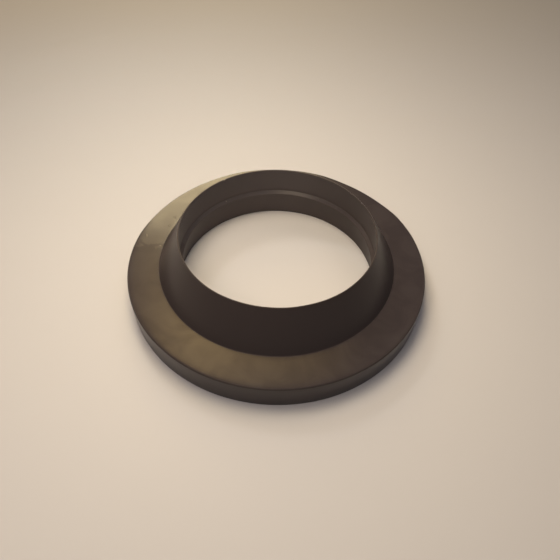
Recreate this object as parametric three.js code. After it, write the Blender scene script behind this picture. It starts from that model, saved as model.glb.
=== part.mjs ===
// Waste valve gasket: one moulded rubber ring.
// A flat flange lies between the waste and the sink or bath. A thin tapered collar stands on the
// flange round the hole, wedges into the waste hole and grips the tail of the waste valve.
// Millimetres, +Z up along the axis of the hole. The origin is the middle of the flat underside.

import * as THREE from 'three';

// Driving dimensions.
// Each radial size is measured out from the hole, so that a change of the hole moves all of it.
const boreDiameter = 48.6;
const flangeWidth = 11.7;
const flangeThickness = 6.4;
const collarHeight = 9;

// The rim leans in by this much towards its top edge, so that the ring leaves its mould.
const rimDraft = 0.17;

// The hole narrows from the underside up to a throat, a little above the flange's top face.
const throatNarrowing = 1.55;
const throatRise = 1;

// Above the throat the hole steps out again, over a small slanted shelf, to the collar's inner wall.
const stepWidth = 0.8;
const stepRise = 0.8;

// The collar is thick at its root and leans in to a thin lip, which stands in from the throat.
const collarRootWidth = 5.65;
const lipOverhang = 0.1;
const lipThickness = 0.27;

// Edge and fillet radii.
const rimTopRadius = 0.4;
const rimBottomRadius = 0.2;
const boreEdgeRadius = 0.2;
const rootFilletRadius = 0.3;
const lipEdgeRadius = 0.12;
const throatEdgeRadius = 0.25;
const shelfFilletRadius = 0.2;

// Smoothness: sides of the ring round its axis, and chords in the arc at each edge.
const ringSides = 96;
const edgeChords = 3;

// Radii and heights of the section, worked out from the sizes above.
const boreRadius = boreDiameter / 2;
const rimRadius = boreRadius + flangeWidth;
const throatRadius = boreRadius - throatNarrowing;
const rootRadius = throatRadius + collarRootWidth;
const lipInnerRadius = throatRadius - lipOverhang;
const lipOuterRadius = lipInnerRadius + lipThickness;
const shelfRadius = throatRadius + stepWidth;
const lipHeight = flangeThickness + collarHeight;
const throatHeight = flangeThickness + throatRise;
const shelfHeight = throatHeight + stepRise;

// The corners of the section, each with the radius that its edge or fillet has.
// They run from the hole out along the underside, up the rim and back down inside the collar.
function sectionCorners() {
  return [
    { at: new THREE.Vector2(boreRadius, 0), round: boreEdgeRadius },
    { at: new THREE.Vector2(rimRadius, 0), round: rimBottomRadius },
    { at: new THREE.Vector2(rimRadius - rimDraft, flangeThickness), round: rimTopRadius },
    { at: new THREE.Vector2(rootRadius, flangeThickness), round: rootFilletRadius },
    { at: new THREE.Vector2(lipOuterRadius, lipHeight), round: lipEdgeRadius },
    { at: new THREE.Vector2(lipInnerRadius, lipHeight), round: lipEdgeRadius },
    { at: new THREE.Vector2(shelfRadius, shelfHeight), round: shelfFilletRadius },
    { at: new THREE.Vector2(throatRadius, throatHeight), round: throatEdgeRadius },
  ];
}

// The arc of one corner, tangent to the two straight runs that meet there.
// An arc reaches less than half way along the shorter run, so that neighbours never meet.
function cornerArc(corner, before, after, radius) {
  const toBefore = before.clone().sub(corner);
  const toAfter = after.clone().sub(corner);
  const shorterRun = Math.min(toBefore.length(), toAfter.length());
  toBefore.normalize();
  toAfter.normalize();
  const halfAngle = Math.acos(toBefore.dot(toAfter)) / 2;
  const reach = Math.min(radius / Math.tan(halfAngle), 0.45 * shorterRun);
  const arcRadius = reach * Math.tan(halfAngle);

  const middle = toBefore.clone().add(toAfter).normalize();
  const centre = corner.clone().addScaledVector(middle, arcRadius / Math.sin(halfAngle));
  const start = corner.clone().addScaledVector(toBefore, reach).sub(centre);
  const end = corner.clone().addScaledVector(toAfter, reach).sub(centre);
  const sweep = Math.atan2(start.cross(end), start.dot(end));

  const points = [];
  for (let step = 0; step <= edgeChords; step += 1) {
    const turned = start.clone().rotateAround(new THREE.Vector2(0, 0), (sweep * step) / edgeChords);
    points.push(turned.add(centre));
  }
  return points;
}

// The closed outline of the section, with its corners rounded.
function ringSection() {
  const corners = sectionCorners();
  const outline = corners.flatMap((corner, index) => {
    const before = corners[(index + corners.length - 1) % corners.length].at;
    const after = corners[(index + 1) % corners.length].at;
    return cornerArc(corner.at, before, after, corner.round);
  });
  outline.push(outline[0].clone());
  return outline;
}

// The section turned about the axis of the hole. A lathe turns about Y, so it is stood up on Z.
function ringGeometry() {
  const geometry = new THREE.LatheGeometry(ringSection(), ringSides);
  geometry.rotateX(Math.PI / 2);
  return geometry;
}

const rubber = new THREE.MeshStandardMaterial({ color: 0x2b2522, roughness: 0.42, metalness: 0 });

const gasket = new THREE.Mesh(ringGeometry(), rubber);
gasket.name = 'gasket';

const group = new THREE.Group();
group.add(gasket);

export default group;
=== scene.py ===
# %% [markdown]
# # A rubber waste valve gasket
# This lesson dresses one small object: the black rubber ring that seals a waste valve in the hole of a
# sink or bath. On the real object it is a single moulding. A flat flange is squeezed against the sink,
# and a cone-shaped collar wedges into the hole and grips the tail of the waste.
# The ring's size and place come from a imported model, so we load that first and keep its box. Everything
# we make stays in metres and in the same frame: +Z up, origin in the middle of the underside.

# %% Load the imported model
import math
import bpy
from mathutils import Euler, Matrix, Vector


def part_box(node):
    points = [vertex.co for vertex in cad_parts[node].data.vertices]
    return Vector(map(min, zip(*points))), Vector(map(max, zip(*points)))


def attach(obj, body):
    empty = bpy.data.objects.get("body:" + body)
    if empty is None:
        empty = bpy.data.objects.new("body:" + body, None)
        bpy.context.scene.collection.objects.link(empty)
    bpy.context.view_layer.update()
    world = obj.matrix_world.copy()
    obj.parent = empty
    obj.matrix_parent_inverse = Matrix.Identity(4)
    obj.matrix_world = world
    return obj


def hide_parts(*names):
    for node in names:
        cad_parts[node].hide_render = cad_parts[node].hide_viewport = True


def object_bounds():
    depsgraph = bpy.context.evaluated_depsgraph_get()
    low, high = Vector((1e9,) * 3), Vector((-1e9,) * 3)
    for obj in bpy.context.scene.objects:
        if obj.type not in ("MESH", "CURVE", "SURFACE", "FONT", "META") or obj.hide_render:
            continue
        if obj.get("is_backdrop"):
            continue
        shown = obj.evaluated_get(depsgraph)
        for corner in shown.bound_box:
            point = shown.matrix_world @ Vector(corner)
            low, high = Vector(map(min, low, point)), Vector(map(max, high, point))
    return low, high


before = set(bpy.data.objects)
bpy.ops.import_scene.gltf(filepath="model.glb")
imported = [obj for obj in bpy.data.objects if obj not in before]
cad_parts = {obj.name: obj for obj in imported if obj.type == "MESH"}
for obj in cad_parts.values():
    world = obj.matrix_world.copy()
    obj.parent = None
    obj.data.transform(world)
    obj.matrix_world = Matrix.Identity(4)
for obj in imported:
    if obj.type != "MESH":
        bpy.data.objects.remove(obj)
cad_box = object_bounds()
ring_low, ring_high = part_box("gasket")
MM = 0.001
RIM_RADIUS = (ring_high[0] - ring_low[0]) / 2
RING_HEIGHT = ring_high[2] - ring_low[2]
print(f"rim radius {RIM_RADIUS / MM:.1f} mm, height {RING_HEIGHT / MM:.1f} mm")

# %% [markdown]
# ## The camera
# The ring was photographed from close by with a wide lens, so the near side looks larger and the flange
# seems to widen towards us. A long lens from far away would lose that. Distance and lens belong together:
# the camera stands about three rim radii away and looks down at almost fifty degrees.

# %% Stand the camera where the photograph was taken
CAMERA_DISTANCE = 3.144 * RIM_RADIUS
CAMERA_ELEVATION = math.radians(48.45)
CAMERA_TILT = math.radians(40.647)
CAMERA_ROLL = math.radians(-1.315)
CAMERA_PAN = math.radians(0.847)
SENSOR_WIDTH = 36.0
LENS = 28.318

camera_data = bpy.data.cameras.new("camera")
camera_data.sensor_width = SENSOR_WIDTH
camera_data.lens = LENS
camera_data.clip_start = 1 * MM
camera = bpy.data.objects.new("camera", camera_data)
camera.location = Vector((0, -math.cos(CAMERA_ELEVATION), math.sin(CAMERA_ELEVATION))) * CAMERA_DISTANCE
camera.rotation_euler = Euler((CAMERA_TILT, CAMERA_ROLL, CAMERA_PAN))
bpy.context.scene.collection.objects.link(camera)
bpy.context.scene.camera = camera
print(f"camera {camera.location.length / MM:.0f} mm from the middle of the ring")

# %% [markdown]
# ## Helpers for node trees
# Materials and geometry trees are both graphs. Four small helpers keep the cells short: one joins an
# output to an input or writes a plain value on the input's socket, one adds a node and sets its
# properties, one does a single sum, and one makes a soft step, which is how most masks begin.

# %% Node helpers
def put(tree, socket, value):
    if isinstance(value, bpy.types.NodeSocket):
        tree.links.new(value, socket)
    else:
        socket.default_value = value


def add_node(tree, kind, inputs=None, **properties):
    node = tree.nodes.new(kind)
    for name, value in properties.items():
        setattr(node, name, value)
    for name, value in (inputs or {}).items():
        put(tree, node.inputs[name], value)
    return node


def sum_node(tree, operation, first, second=0.0):
    return add_node(tree, "ShaderNodeMath", {0: first, 1: second}, operation=operation).outputs[0]


def smooth_step(tree, value, start, end):
    """Goes from 0 to 1 while the value goes from start to end."""
    step = add_node(tree, "ShaderNodeMapRange", {"Value": value}, interpolation_type="SMOOTHSTEP")
    step.inputs["From Min"].default_value = start
    step.inputs["From Max"].default_value = end
    return step.outputs["Result"]


print("helpers ready: put, add_node, sum_node, smooth_step")

# %% [markdown]
# ## The section of the ring
# A moulded ring is one section turned about an axis, so the section is where the design is. It has eight
# corners: the foot of the hole, the rim's two edges, the root of the collar, the lip's two edges, and a
# small shelf inside the hole, just above its narrowest place. Each corner keeps the radius that its edge
# has on the rubber. The corners are drawn sharp here, and the geometry tree rounds them.

# %% Draw the section as a closed loop of edges
FLANGE_THICKNESS = 6.4 * MM
BORE_RADIUS = 24.3 * MM
RIM_DRAFT = 0.17 * MM
THROAT_RADIUS = 22.75 * MM
THROAT_HEIGHT = 7.4 * MM
SHELF_RADIUS = 23.55 * MM
SHELF_HEIGHT = 8.2 * MM
ROOT_RADIUS = 28.4 * MM
LIP_INNER_RADIUS = 22.65 * MM
LIP_OUTER_RADIUS = 22.92 * MM
BORE_EDGE_ROUNDING = 0.2 * MM
RIM_BOTTOM_ROUNDING = 0.2 * MM
RIM_TOP_ROUNDING = 0.4 * MM
ROOT_ROUNDING = 0.3 * MM
LIP_ROUNDING = 0.12 * MM
SHELF_ROUNDING = 0.2 * MM
THROAT_ROUNDING = 0.25 * MM

# Each corner: distance from the axis, height, and the rounding of its edge.
section_corners = [
    (BORE_RADIUS, 0.0, BORE_EDGE_ROUNDING),
    (RIM_RADIUS, 0.0, RIM_BOTTOM_ROUNDING),
    (RIM_RADIUS - RIM_DRAFT, FLANGE_THICKNESS, RIM_TOP_ROUNDING),
    (ROOT_RADIUS, FLANGE_THICKNESS, ROOT_ROUNDING),
    (LIP_OUTER_RADIUS, RING_HEIGHT, LIP_ROUNDING),
    (LIP_INNER_RADIUS, RING_HEIGHT, LIP_ROUNDING),
    (SHELF_RADIUS, SHELF_HEIGHT, SHELF_ROUNDING),
    (THROAT_RADIUS, THROAT_HEIGHT, THROAT_ROUNDING),
]


def section_object(corners):
    mesh = bpy.data.meshes.new("section")
    points = [(radius - BORE_RADIUS, -height, 0) for radius, height, rounding in corners]
    edges = [(index, (index + 1) % len(corners)) for index in range(len(corners))]
    mesh.from_pydata(points, edges, [])
    rounding_of = mesh.attributes.new("edge_radius", "FLOAT", "POINT")
    for index, (radius, height, rounding) in enumerate(corners):
        rounding_of.data[index].value = rounding
    made = bpy.data.objects.new("section", mesh)
    bpy.context.scene.collection.objects.link(made)
    return made


section = section_object(section_corners)
print(f"{len(section_corners)} corners, hole {2 * BORE_RADIUS / MM:.1f} mm wide at the underside")

# %% [markdown]
# ## The floor
# The ring lies on a plain pale table top. The rubber is satin, so this floor is also what the collar, the
# rim and the hole reflect, and its colour matters as much as a lamp's. One large flat face does: what is
# asked of it is an even tone, and a texture would only draw the eye from the ring.

# %% Lay the floor
FLOOR_COLOUR = (0.60, 0.565, 0.545, 1)
FLOOR_ROUGHNESS = 0.7
FLOOR_SIZE = 3.0

floor_mesh = bpy.data.meshes.new("floor")
half = FLOOR_SIZE / 2
floor_corners = [(-half, -half, 0), (half, -half, 0), (half, half, 0), (-half, half, 0)]
floor_mesh.from_pydata(floor_corners, [], [(0, 1, 2, 3)])
floor = bpy.data.objects.new("floor", floor_mesh)
bpy.context.scene.collection.objects.link(floor)
floor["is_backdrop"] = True

floor_material = bpy.data.materials.new("pale floor")
floor_material.use_nodes = True
floor_tree = floor_material.node_tree
floor_shader = floor_tree.nodes["Principled BSDF"]
floor_shader.inputs["Base Color"].default_value = FLOOR_COLOUR
floor_shader.inputs["Roughness"].default_value = FLOOR_ROUGHNESS
floor_mesh.materials.append(floor_material)
print(f"floor {FLOOR_SIZE:.0f} m across at height 0")

# %% [markdown]
# ## The light
# Satin rubber is nearly black, so what we see on it is mostly the room. The photograph tells two stories.
# The shadows say that a small lamp stands high behind the ring and a wide one right overhead: the floor in
# the hole has one soft crescent of shade at the back and hardly any shadow in front. The mirror-like
# flange says that warm windows stand low behind the ring and to its left. So some lamps here only light,
# and the others are also mirrored. Each is given by the brightness of its face, where 1 is white paper in
# full light, so that a lamp can change its size without changing how its reflection looks.

# %% Hang the lamps
SKY_COLOUR = (0.55, 0.70, 1.0, 1)
SKY_STRENGTH = 0.12


def area_lamp(name, azimuth, elevation, distance, width, height, brightness, colour, mirrored=True):
    """A soft lamp that faces the ring. Azimuth 0 is behind the ring, and 90 is to its right."""
    light = bpy.data.lights.new(name, "AREA")
    light.shape = "RECTANGLE"
    light.size = width
    light.size_y = height
    light.energy = brightness * math.pi * width * height
    light.color = colour
    lamp = bpy.data.objects.new(name, light)
    turn = math.radians(azimuth)
    flat = math.cos(math.radians(elevation)) * distance
    rise = math.sin(math.radians(elevation)) * distance
    lamp.location = (math.sin(turn) * flat, math.cos(turn) * flat, rise)
    lamp.rotation_euler = (-lamp.location).to_track_quat("-Z", "Y").to_euler()
    lamp.visible_glossy = mirrored
    bpy.context.scene.collection.objects.link(lamp)


# Each lamp: azimuth and elevation in degrees, distance, width and height in metres, brightness, colour.
area_lamp("back", -32, 50, 0.20, 0.032, 0.032, 20.0, (0.88, 0.95, 1.0), mirrored=False)
area_lamp("overhead", -70, 82, 0.13, 0.06, 0.06, 10.6, (1.0, 0.87, 0.65), mirrored=False)
area_lamp("front", -145, 60, 0.17, 0.09, 0.09, 2.4, (1.0, 0.90, 0.85), mirrored=False)
area_lamp("right", 40, 60, 0.22, 0.09, 0.09, 1.6, (1.0, 0.92, 0.90), mirrored=False)
area_lamp("window", -10, 31, 0.55, 0.26, 0.20, 4.3, (1.0, 0.80, 0.45))
area_lamp("side window", -50, 32, 0.55, 0.14, 0.16, 2.6, (1.0, 0.75, 0.49))
area_lamp("small lamp", -20, 57, 0.55, 0.08, 0.08, 1.6, (1.0, 0.70, 0.30))
area_lamp("warm wall", -10, 55, 0.55, 0.26, 0.20, 1.7, (1.0, 0.66, 0.20))
area_lamp("room", -162, 51, 0.55, 0.18, 0.13, 2.8, (1.0, 0.78, 0.52))

world = bpy.data.worlds.new("studio")
bpy.context.scene.world = world
world.use_nodes = True
background = world.node_tree.nodes["Background"]
background.inputs["Color"].default_value = SKY_COLOUR
background.inputs["Strength"].default_value = SKY_STRENGTH
bpy.context.scene.view_settings.view_transform = "Standard"
lamps = [thing for thing in bpy.data.objects if thing.type == "LIGHT"]
print(f"{len(lamps)} lamps, {sum(lamp.visible_glossy for lamp in lamps)} of them mirrored")

# %% [markdown]
# ## The rubber
# Moulded black rubber is never pure black: carbon and wax make it a warm dark brown, and wax that comes
# to the surface lies on it as a faint haze. The flat flange was pressed by a polished mould plate, so it
# is the smoothest face and mirrors the window softly. The sides and the inside of the hole are duller.
# Three materials on three groups of faces would show a hard line where they meet. Instead one material
# asks which way each spot looks: straight up is flange, towards the axis is hole, and the rest is side.
# The hole's walls get a paler tone, painted light that stands in for the bright floor they reflect. It is
# stronger above the shelf, partly taken off the shelf, and dimmed on the right, where the lamps already light
# the wall.

# %% Masks that find the flange and the hole
# Each mask goes from 0 at the first number to 1 at the second.
LOOKS_IN_FACING = (-0.2, -0.6)
SHELF_RISE = (0.55, 0.65)
FLANGE_RISE = (0.985, 0.998)
SHELF_POLISH = 0.6
DULL_LIP_BAND = 1 * MM
# Painted light in the hole, for the floor its walls reflect: less below the shelf and on it, and less on the
# right.
PAINTED_LIGHT_STEP = 1 * MM
PAINTED_LIGHT_BELOW_SHELF = 0.72
PAINTED_LIGHT_OFF_SHELF = 0.26
PAINTED_LIGHT_RIGHT_DIMMING = 0.65


def blend_colour(tree, factor, first, second):
    mix = add_node(tree, "ShaderNodeMix", data_type="RGBA")
    put(tree, mix.inputs[0], factor)
    put(tree, mix.inputs[6], first)
    put(tree, mix.inputs[7], second)
    return mix.outputs[2]


def blend_value(tree, factor, first, second):
    mix = add_node(tree, "ShaderNodeMix", {0: factor, 2: first, 3: second})
    return mix.outputs[0]


def ring_masks(tree, place):
    """Masks for the polished faces, for the hole's wall and for the painted light in it, and the way out from
    the axis.
    """
    normal = add_node(tree, "ShaderNodeNewGeometry").outputs["Normal"]
    rise = add_node(tree, "ShaderNodeSeparateXYZ", {0: normal}).outputs["Z"]
    level = add_node(tree, "ShaderNodeVectorMath", {0: place, 1: (1, 1, 0)}, operation="MULTIPLY").outputs[0]
    outward = add_node(tree, "ShaderNodeVectorMath", {0: level}, operation="NORMALIZE").outputs[0]
    facing = add_node(tree, "ShaderNodeVectorMath", {0: normal, 1: outward}, operation="DOT_PRODUCT")
    height = add_node(tree, "ShaderNodeSeparateXYZ", {0: place}).outputs["Z"]
    looks_in = smooth_step(tree, facing.outputs["Value"], *LOOKS_IN_FACING)
    shelf = sum_node(tree, "MULTIPLY", looks_in, smooth_step(tree, rise, *SHELF_RISE))
    flange = smooth_step(tree, rise, *FLANGE_RISE)
    polished = sum_node(tree, "MAXIMUM", flange, sum_node(tree, "MULTIPLY", shelf, SHELF_POLISH))
    below_lip = smooth_step(tree, height, RING_HEIGHT - DULL_LIP_BAND, RING_HEIGHT - 2 * DULL_LIP_BAND)
    # Painted light in the hole: a share of it below the shelf, less on the shelf, and dimmed on the right
    # where the lamps light the wall.
    above_shelf = smooth_step(tree, height, SHELF_HEIGHT, SHELF_HEIGHT + PAINTED_LIGHT_STEP)
    hole_light = sum_node(tree, "MULTIPLY", looks_in, blend_value(tree, above_shelf, PAINTED_LIGHT_BELOW_SHELF, 1.0))
    hole_light = sum_node(tree, "SUBTRACT", hole_light, sum_node(tree, "MULTIPLY", shelf, PAINTED_LIGHT_OFF_SHELF))
    to_right = add_node(tree, "ShaderNodeSeparateXYZ", {0: outward}).outputs["X"]
    dimmed_right = sum_node(tree, "MULTIPLY", smooth_step(tree, to_right, 0.0, 1.0), PAINTED_LIGHT_RIGHT_DIMMING)
    hole_light = sum_node(tree, "MULTIPLY", hole_light, sum_node(tree, "SUBTRACT", 1.0, dimmed_right))
    return sum_node(tree, "MULTIPLY", polished, below_lip), looks_in, hole_light, outward


print(f"polished below {(RING_HEIGHT - DULL_LIP_BAND) / MM:.1f} mm, so that the lip's edge stays dull")

# %% [markdown]
# ## Marks and dust
# The flange carries a few small marks where the mould was chipped, and a few grains of pale dust lie on
# the ring. Noise can't put a mark where the real one is, so each is listed by its place: how far from the
# axis, how high, and which way. A stretched and turned copy of the coordinates makes it an oval. The marks
# stand up less than a tenth of a millimetre, too little for the mesh, so they are left to the bump.

# %% Place the mould marks and the dust
# A spot is at full strength out to this share of its size, and fades from there to its edge.
SPOT_CORE = 0.4

# Each spot: radius and height in mm, azimuth in degrees, length and width in mm, turn from the tangent.
MOULD_MARKS = [
    (33.8, 6.4, -79.8, 1.6, 0.5, 25),
    (29.2, 6.4, -85.2, 1.1, 0.7, 60),
    (29.9, 6.4, -70.7, 0.8, 0.5, 0),
    (30.3, 6.4, -64.5, 0.9, 0.4, 70),
]
DUST_SPECKS = [
    (23.2, 7.9, -37.5, 0.5, 0.5, 0),
    (36.0, 6.0, -163.0, 0.3, 0.25, 0),
    (36.0, 1.1, 168.4, 0.3, 0.25, 0),
]


def spot_mask(tree, place, radius, height, azimuth, long, wide, turn):
    """1 on the spot and 0 away from it."""
    way = math.radians(azimuth)
    centre = (math.sin(way) * radius * MM, math.cos(way) * radius * MM, height * MM)
    local = add_node(tree, "ShaderNodeMapping", {"Vector": place}, vector_type="TEXTURE")
    local.inputs["Location"].default_value = centre
    local.inputs["Rotation"].default_value = (0, 0, math.radians(turn) - way)
    local.inputs["Scale"].default_value = (long / 2 * MM, wide / 2 * MM, long / 2 * MM)
    away = add_node(tree, "ShaderNodeVectorMath", {0: local.outputs[0]}, operation="LENGTH").outputs["Value"]
    return smooth_step(tree, away, 1.0, SPOT_CORE)


def spots(tree, place, listed):
    together = 0.0
    for spot in listed:
        together = sum_node(tree, "MAXIMUM", together, spot_mask(tree, place, *spot))
    return together


print(f"{len(MOULD_MARKS)} mould marks and {len(DUST_SPECKS)} specks of dust")

# %% [markdown]
# ## Wear on the flange
# The flange is where fingers and packaging touch. A thin film of wax lies over most of it, and at the back
# it has come off along a torn line, where the flange is a little paler and shinier. The torn line is an
# angle round the ring with fine noise added to it. Soft blotches and streaks that run outwards do the
# rest. All go into one number, so that colour, roughness and shine can follow the same pattern.

# %% Gather the wear into one mask
BARE_AZIMUTH = -30
BARE_HALF_WIDTH = 54.5
TEAR_SCALE = 300
TEAR_DEPTH = 0.3
TEAR_SOFTNESS = 0.02
BLOTCH_SCALE = 110
BLOTCH_RANGE = (0.34, 0.66)
STREAK_SCALE = 14.0
FILM_SHARE = 0.75
RUBBED_SHARE = 0.35


def noise(tree, place, scale, detail=3.0, distortion=0.0):
    texture = add_node(tree, "ShaderNodeTexNoise", {"Vector": place, "Scale": scale, "Detail": detail})
    texture.inputs["Distortion"].default_value = distortion
    return texture.outputs[0]


def wear_of_flange(tree, place, outward):
    """Near 0 where the flange is still polished, and about 1 where film and rubbing have dulled it."""
    torn = noise(tree, place, TEAR_SCALE, 5.0, 1.2)
    bare_way = math.radians(BARE_AZIMUTH)
    towards = (math.sin(bare_way), math.cos(bare_way), 0)
    along = add_node(tree, "ShaderNodeVectorMath", {0: outward, 1: towards}, operation="DOT_PRODUCT")
    border = sum_node(tree, "ADD", along.outputs["Value"], sum_node(tree, "MULTIPLY", torn, TEAR_DEPTH))
    edge = math.cos(math.radians(BARE_HALF_WIDTH)) + TEAR_DEPTH / 2
    film = smooth_step(tree, border, edge + TEAR_SOFTNESS, edge - TEAR_SOFTNESS)
    blotch = smooth_step(tree, noise(tree, place, BLOTCH_SCALE, 4.0, 1.6), *BLOTCH_RANGE)
    streak = noise(tree, outward, STREAK_SCALE)
    rubbed = sum_node(tree, "MULTIPLY", sum_node(tree, "ADD", blotch, streak), RUBBED_SHARE)
    return sum_node(tree, "ADD", sum_node(tree, "MULTIPLY", film, FILM_SHARE), rubbed)


print(f"the film is off within {BARE_HALF_WIDTH} degrees of azimuth {BARE_AZIMUTH}")

# %% [markdown]
# ## Mixing the rubber
# The masks are put together here. The flange gets the lowest roughness and the strongest shine, the sides
# less, and the hole the least, with a paler tone painted in for the floor light its walls reflect. A very
# fine grain keeps highlights from looking like glass, and on top of it the mould marks stand up.

# %% Mix the rubber
FLANGE_ROUGHNESS = 0.16
SIDE_ROUGHNESS = 0.30
HOLE_ROUGHNESS = 0.48
SIDE_GLOSS = 0.26
HOLE_GLOSS = 0.12
SIDE_BARENESS = 0.3
WORN_FILMING = 0.7
WORN_ROUGHENING = 0.05
WORN_DULLING = 0.38
MARK_CHALK = 0.22
DUST_CHALK = 0.4
MARK_HEIGHT = 0.08 * MM
GRAIN_SCALE = 4200
GRAIN_DEPTH = 0.02 * MM
GRAIN_STRENGTH = 0.25
RUBBER_FILMED = (0.037, 0.027, 0.026, 1)
RUBBER_BARE = (0.071, 0.055, 0.047, 1)
# Painted light: the paler tone of the hole's walls, standing in for the bright floor they reflect.
HOLE_PAINTED_LIGHT = (0.128, 0.107, 0.102, 1)
CHALK = (0.40, 0.33, 0.22, 1)


def rubber_material():
    material = bpy.data.materials.new("moulded rubber")
    material.use_nodes = True
    tree = material.node_tree
    shader = tree.nodes["Principled BSDF"]
    place = add_node(tree, "ShaderNodeTexCoord").outputs["Object"]
    polished, looks_in, hole_light, outward = ring_masks(tree, place)

    worn = wear_of_flange(tree, place, outward)
    bare = sum_node(tree, "SUBTRACT", 1.0, sum_node(tree, "MULTIPLY", worn, WORN_FILMING))
    bareness = blend_value(tree, polished, SIDE_BARENESS, bare)
    body = blend_colour(tree, bareness, RUBBER_FILMED, RUBBER_BARE)
    # Painted light: a paler tone in the hole stands in for the bright floor that its walls reflect.
    body = blend_colour(tree, hole_light, body, HOLE_PAINTED_LIGHT)
    marks = spots(tree, place, MOULD_MARKS)
    specks = spots(tree, place, DUST_SPECKS)
    body = blend_colour(tree, sum_node(tree, "MULTIPLY", marks, MARK_CHALK), body, CHALK)
    dusty = blend_colour(tree, sum_node(tree, "MULTIPLY", specks, DUST_CHALK), body, CHALK)
    put(tree, shader.inputs["Base Color"], dusty)

    flat = sum_node(tree, "ADD", FLANGE_ROUGHNESS, sum_node(tree, "MULTIPLY", worn, WORN_ROUGHENING))
    sides = blend_value(tree, looks_in, SIDE_ROUGHNESS, HOLE_ROUGHNESS)
    put(tree, shader.inputs["Roughness"], blend_value(tree, polished, sides, flat))
    gloss = blend_value(tree, looks_in, SIDE_GLOSS, HOLE_GLOSS)
    shine = sum_node(tree, "SUBTRACT", 1.0, sum_node(tree, "MULTIPLY", worn, WORN_DULLING))
    put(tree, shader.inputs["Specular IOR Level"], blend_value(tree, polished, gloss, shine))

    grain = noise(tree, place, GRAIN_SCALE)
    fine = add_node(tree, "ShaderNodeBump", {"Strength": GRAIN_STRENGTH, "Distance": GRAIN_DEPTH})
    put(tree, fine.inputs["Height"], grain)
    raised = add_node(tree, "ShaderNodeBump", {"Strength": 1.0, "Distance": MARK_HEIGHT, "Height": marks})
    put(tree, raised.inputs["Normal"], fine.outputs[0])
    put(tree, shader.inputs["Normal"], raised.outputs[0])
    return material


rubber = rubber_material()
print(f"rubber mixed from {len(rubber.node_tree.nodes)} nodes")

# %% [markdown]
# ## The ring
# A ring is turned, so one rule makes all of it: sweep the section round a circle. A Geometry Nodes tree
# does that from named inputs, so a wider hole or a deeper dent is one number. First the section: each
# corner is rounded by the radius stored on it, and the long runs are cut into short ones. Without those
# cuts the collar would be one long face from foot to lip, and nothing on it could bend.

# %% Nodes that work along the section
def rounded_section(tree, section, chords, longest_run):
    """The section with round corners, its long runs cut into pieces."""
    outline = add_node(tree, "GeometryNodeMeshToCurve", {"Mesh": section})
    rounding = add_node(tree, "GeometryNodeInputNamedAttribute", {"Name": "edge_radius"}, data_type="FLOAT")
    fillet = add_node(tree, "GeometryNodeFilletCurve", {"Curve": outline.outputs["Curve"]}, mode="POLY")
    put(tree, fillet.inputs["Radius"], rounding.outputs["Attribute"])
    put(tree, fillet.inputs["Limit Radius"], True)
    put(tree, fillet.inputs["Count"], chords)
    rounded = fillet.outputs["Curve"]

    size = add_node(tree, "GeometryNodeAttributeDomainSize", {"Geometry": rounded}, component="CURVE")
    index = add_node(tree, "GeometryNodeInputIndex").outputs[0]
    following = sum_node(tree, "MODULO", sum_node(tree, "ADD", index, 1), size.outputs["Point Count"])
    position = add_node(tree, "GeometryNodeInputPosition").outputs[0]
    end = add_node(tree, "GeometryNodeFieldAtIndex", data_type="FLOAT_VECTOR", domain="POINT")
    put(tree, end.inputs["Index"], following)
    put(tree, end.inputs["Value"], position)
    run = add_node(tree, "ShaderNodeVectorMath", {0: position, 1: end.outputs["Value"]}, operation="DISTANCE")
    cuts = sum_node(tree, "FLOOR", sum_node(tree, "DIVIDE", run.outputs["Value"], longest_run))
    return add_node(tree, "GeometryNodeSubdivideCurve", {"Curve": rounded, "Cuts": cuts}).outputs["Curve"]


print(f"sharpest corner {min(rounding for radius, height, rounding in section_corners) / MM:.2f} mm")

# %% [markdown]
# ## A ring that isn't quite true
# Soft rubber never stays true. The thin lip wavers, the rim is drawn in a little at two places where the
# ring was squeezed, and three nicks were left in the lip when its flash was torn off. All three are moves
# of points: in or out for the lip and the rim, and straight down for the nicks. The lip's noise is read
# from the direction alone, so that the whole height of the collar leans together.

# %% Nodes that bend the ring out of true
# Each dent and each nick: azimuth and half its width in degrees, and for a dent its share of the depth.
RIM_DENTS = [(42.0, 22.0, 1.0), (-50.0, 32.0, 0.8)]
LIP_NICKS = [(52.5, 1.6), (63.5, 1.2), (-38.0, 1.0)]
NICK_BAND = 0.5 * MM
WAVER_SCALE = 1.3
WAVER_DETAIL = 2.0


def near_azimuth(tree, outward, azimuth, half_width):
    """1 at this azimuth, falling to 0 half a width away."""
    way = math.radians(azimuth)
    towards = (math.sin(way), math.cos(way), 0)
    along = add_node(tree, "ShaderNodeVectorMath", {0: outward, 1: towards}, operation="DOT_PRODUCT")
    return smooth_step(tree, along.outputs["Value"], math.cos(math.radians(half_width)), 1.0)


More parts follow.
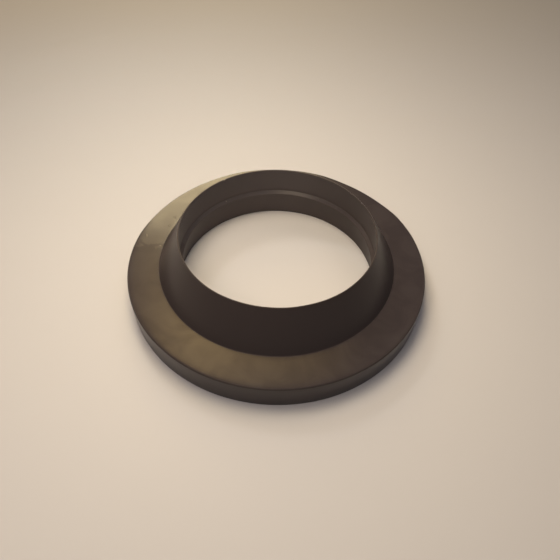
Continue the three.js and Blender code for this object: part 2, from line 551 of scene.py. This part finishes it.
def unevenness(tree, lip_waver, rim_dent, nick_depth, seed):
    """How far each point moves: in or out with the lip and the rim, and down at the nicks."""
    position = add_node(tree, "GeometryNodeInputPosition").outputs[0]
    level = add_node(tree, "ShaderNodeVectorMath", {0: position, 1: (1, 1, 0)}, operation="MULTIPLY")
    outward = add_node(tree, "ShaderNodeVectorMath", {0: level.outputs[0]}, operation="NORMALIZE").outputs[0]
    from_axis = add_node(tree, "ShaderNodeVectorMath", {0: level.outputs[0]}, operation="LENGTH")
    height = add_node(tree, "ShaderNodeSeparateXYZ", {0: position}).outputs["Z"]

    texture = add_node(tree, "ShaderNodeTexNoise", {"Vector": outward, "W": seed}, noise_dimensions="4D")
    texture.inputs["Scale"].default_value = WAVER_SCALE
    texture.inputs["Detail"].default_value = WAVER_DETAIL
    swing = sum_node(tree, "MULTIPLY", sum_node(tree, "SUBTRACT", texture.outputs[0], 0.5), 2.0)
    up_collar = smooth_step(tree, height, FLANGE_THICKNESS, RING_HEIGHT)
    lip_move = sum_node(tree, "MULTIPLY", sum_node(tree, "MULTIPLY", swing, lip_waver), up_collar)

    dents = 0.0
    for azimuth, half_width, share in RIM_DENTS:
        dent = near_azimuth(tree, outward, azimuth, half_width)
        dents = sum_node(tree, "ADD", dents, sum_node(tree, "MULTIPLY", dent, share))
    at_rim = smooth_step(tree, from_axis.outputs["Value"], ROOT_RADIUS, RIM_RADIUS)
    rim_move = sum_node(tree, "MULTIPLY", sum_node(tree, "MULTIPLY", dents, rim_dent), at_rim)
    sideways = sum_node(tree, "SUBTRACT", lip_move, rim_move)
    move_out = add_node(tree, "ShaderNodeVectorMath", {0: outward, "Scale": sideways}, operation="SCALE")

    nicks = 0.0
    for azimuth, half_width in LIP_NICKS:
        nicks = sum_node(tree, "ADD", nicks, near_azimuth(tree, outward, azimuth, half_width))
    at_lip = smooth_step(tree, height, RING_HEIGHT - NICK_BAND, RING_HEIGHT)
    drop = sum_node(tree, "MULTIPLY", sum_node(tree, "MULTIPLY", nicks, at_lip), nick_depth)
    down = add_node(tree, "ShaderNodeVectorMath", {0: (0, 0, -1), "Scale": drop}, operation="SCALE")
    return add_node(tree, "ShaderNodeVectorMath", {0: move_out.outputs[0], 1: down.outputs[0]}).outputs[0]


print(f"{len(RIM_DENTS)} dents in the rim, {len(LIP_NICKS)} nicks in the lip")

# %% [markdown]
# ## The whole tree
# Now the tree is put together: round the section, sweep it round the circle of the hole, turn its faces
# outward, bend it, smooth it, and give it the rubber. Six hundred and forty sides keep the rim's outline
# round close up, and twelve chords at each edge keep the highlight on it as narrow as on the real one:
# with fewer, the shading of the edge bleeds into the flat flange.

# %% Build the tree that turns the section
RING_INPUTS = {
    "Sides": ("NodeSocketInt", 640),
    "Edge chords": ("NodeSocketInt", 12),
    "Longest run": ("NodeSocketFloat", 1.1 * MM),
    "Hole radius": ("NodeSocketFloat", BORE_RADIUS),
    "Lip waver": ("NodeSocketFloat", 0.25 * MM),
    "Rim dent": ("NodeSocketFloat", 0.45 * MM),
    "Nick depth": ("NodeSocketFloat", 0.22 * MM),
    "Seed": ("NodeSocketFloat", 3.0),
}


def ring_tree(material):
    tree = bpy.data.node_groups.new("turned ring", "GeometryNodeTree")
    tree.interface.new_socket("Section", in_out="INPUT", socket_type="NodeSocketGeometry")
    for name, (kind, value) in RING_INPUTS.items():
        tree.interface.new_socket(name, in_out="INPUT", socket_type=kind)
    tree.interface.new_socket("Ring", in_out="OUTPUT", socket_type="NodeSocketGeometry")
    given = add_node(tree, "NodeGroupInput").outputs

    section_curve = rounded_section(tree, given["Section"], given["Edge chords"], given["Longest run"])
    circle = add_node(tree, "GeometryNodeCurvePrimitiveCircle", {"Resolution": given["Sides"]}, mode="RADIUS")
    put(tree, circle.inputs["Radius"], given["Hole radius"])
    upright = add_node(tree, "GeometryNodeSetCurveNormal", {"Curve": circle.outputs["Curve"]}, mode="Z_UP")
    turned = add_node(tree, "GeometryNodeCurveToMesh", {"Curve": upright.outputs["Curve"]})
    put(tree, turned.inputs["Profile Curve"], section_curve)
    outward = add_node(tree, "GeometryNodeFlipFaces", {"Mesh": turned.outputs["Mesh"]})
    move = unevenness(tree, given["Lip waver"], given["Rim dent"], given["Nick depth"], given["Seed"])
    bent = add_node(tree, "GeometryNodeSetPosition", {"Geometry": outward.outputs["Mesh"], "Offset": move})
    smooth = add_node(tree, "GeometryNodeSetShadeSmooth", {"Geometry": bent.outputs["Geometry"]})
    finished = add_node(tree, "GeometryNodeSetMaterial", {"Geometry": smooth.outputs["Geometry"]})
    finished.inputs["Material"].default_value = material
    output = add_node(tree, "NodeGroupOutput")
    tree.links.new(finished.outputs["Geometry"], output.inputs["Ring"])
    return tree


turned_ring = ring_tree(rubber)
print(f"tree of {len(turned_ring.nodes)} nodes with {len(RING_INPUTS)} named inputs")

# %% [markdown]
# ## From tree to mesh
# A modifier is fine while a piece is being designed. At the end, its result is kept as a plain mesh
# and the modifier goes, so the ring looks the same everywhere. It then takes the place of the model's
# gasket: same frame and same box.

# %% Run the tree and keep the result as a plain mesh
def evaluated_piece(source, tree, inputs, name):
    modifier = source.modifiers.new("tree", "NODES")
    modifier.node_group = tree
    for item in tree.interface.items_tree:
        if item.in_out == "INPUT" and item.name in inputs:
            modifier[item.identifier] = inputs[item.name][1]
    bpy.context.view_layer.update()
    depsgraph = bpy.context.evaluated_depsgraph_get()
    mesh = bpy.data.meshes.new_from_object(source.evaluated_get(depsgraph))
    mesh.name = name
    source.modifiers.remove(modifier)
    piece = bpy.data.objects.new(name, mesh)
    bpy.context.scene.collection.objects.link(piece)
    return piece


ring = evaluated_piece(section, turned_ring, RING_INPUTS, "rubber_ring")
bpy.data.objects.remove(section)
low = [round(min(vertex.co[axis] for vertex in ring.data.vertices) / MM, 2) for axis in range(3)]
high = [round(max(vertex.co[axis] for vertex in ring.data.vertices) / MM, 2) for axis in range(3)]
print(f"ring: {len(ring.data.polygons)} faces, from {low} to {high} mm")

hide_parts("gasket")
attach(ring, "root")

# %% [markdown]
# ## The last check
# The dressed ring must be the size of the model, or it would not fit where the model fits. Both boxes are
# written down, and the difference of their sides is printed in hundredths of a millimetre.


visual_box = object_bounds()
for axis in range(3):
    difference = (visual_box[1][axis] - visual_box[0][axis]) - (cad_box[1][axis] - cad_box[0][axis])
    print(f"side {'XYZ'[axis]}: {difference / MM * 100:+.1f} hundredths of a millimetre")
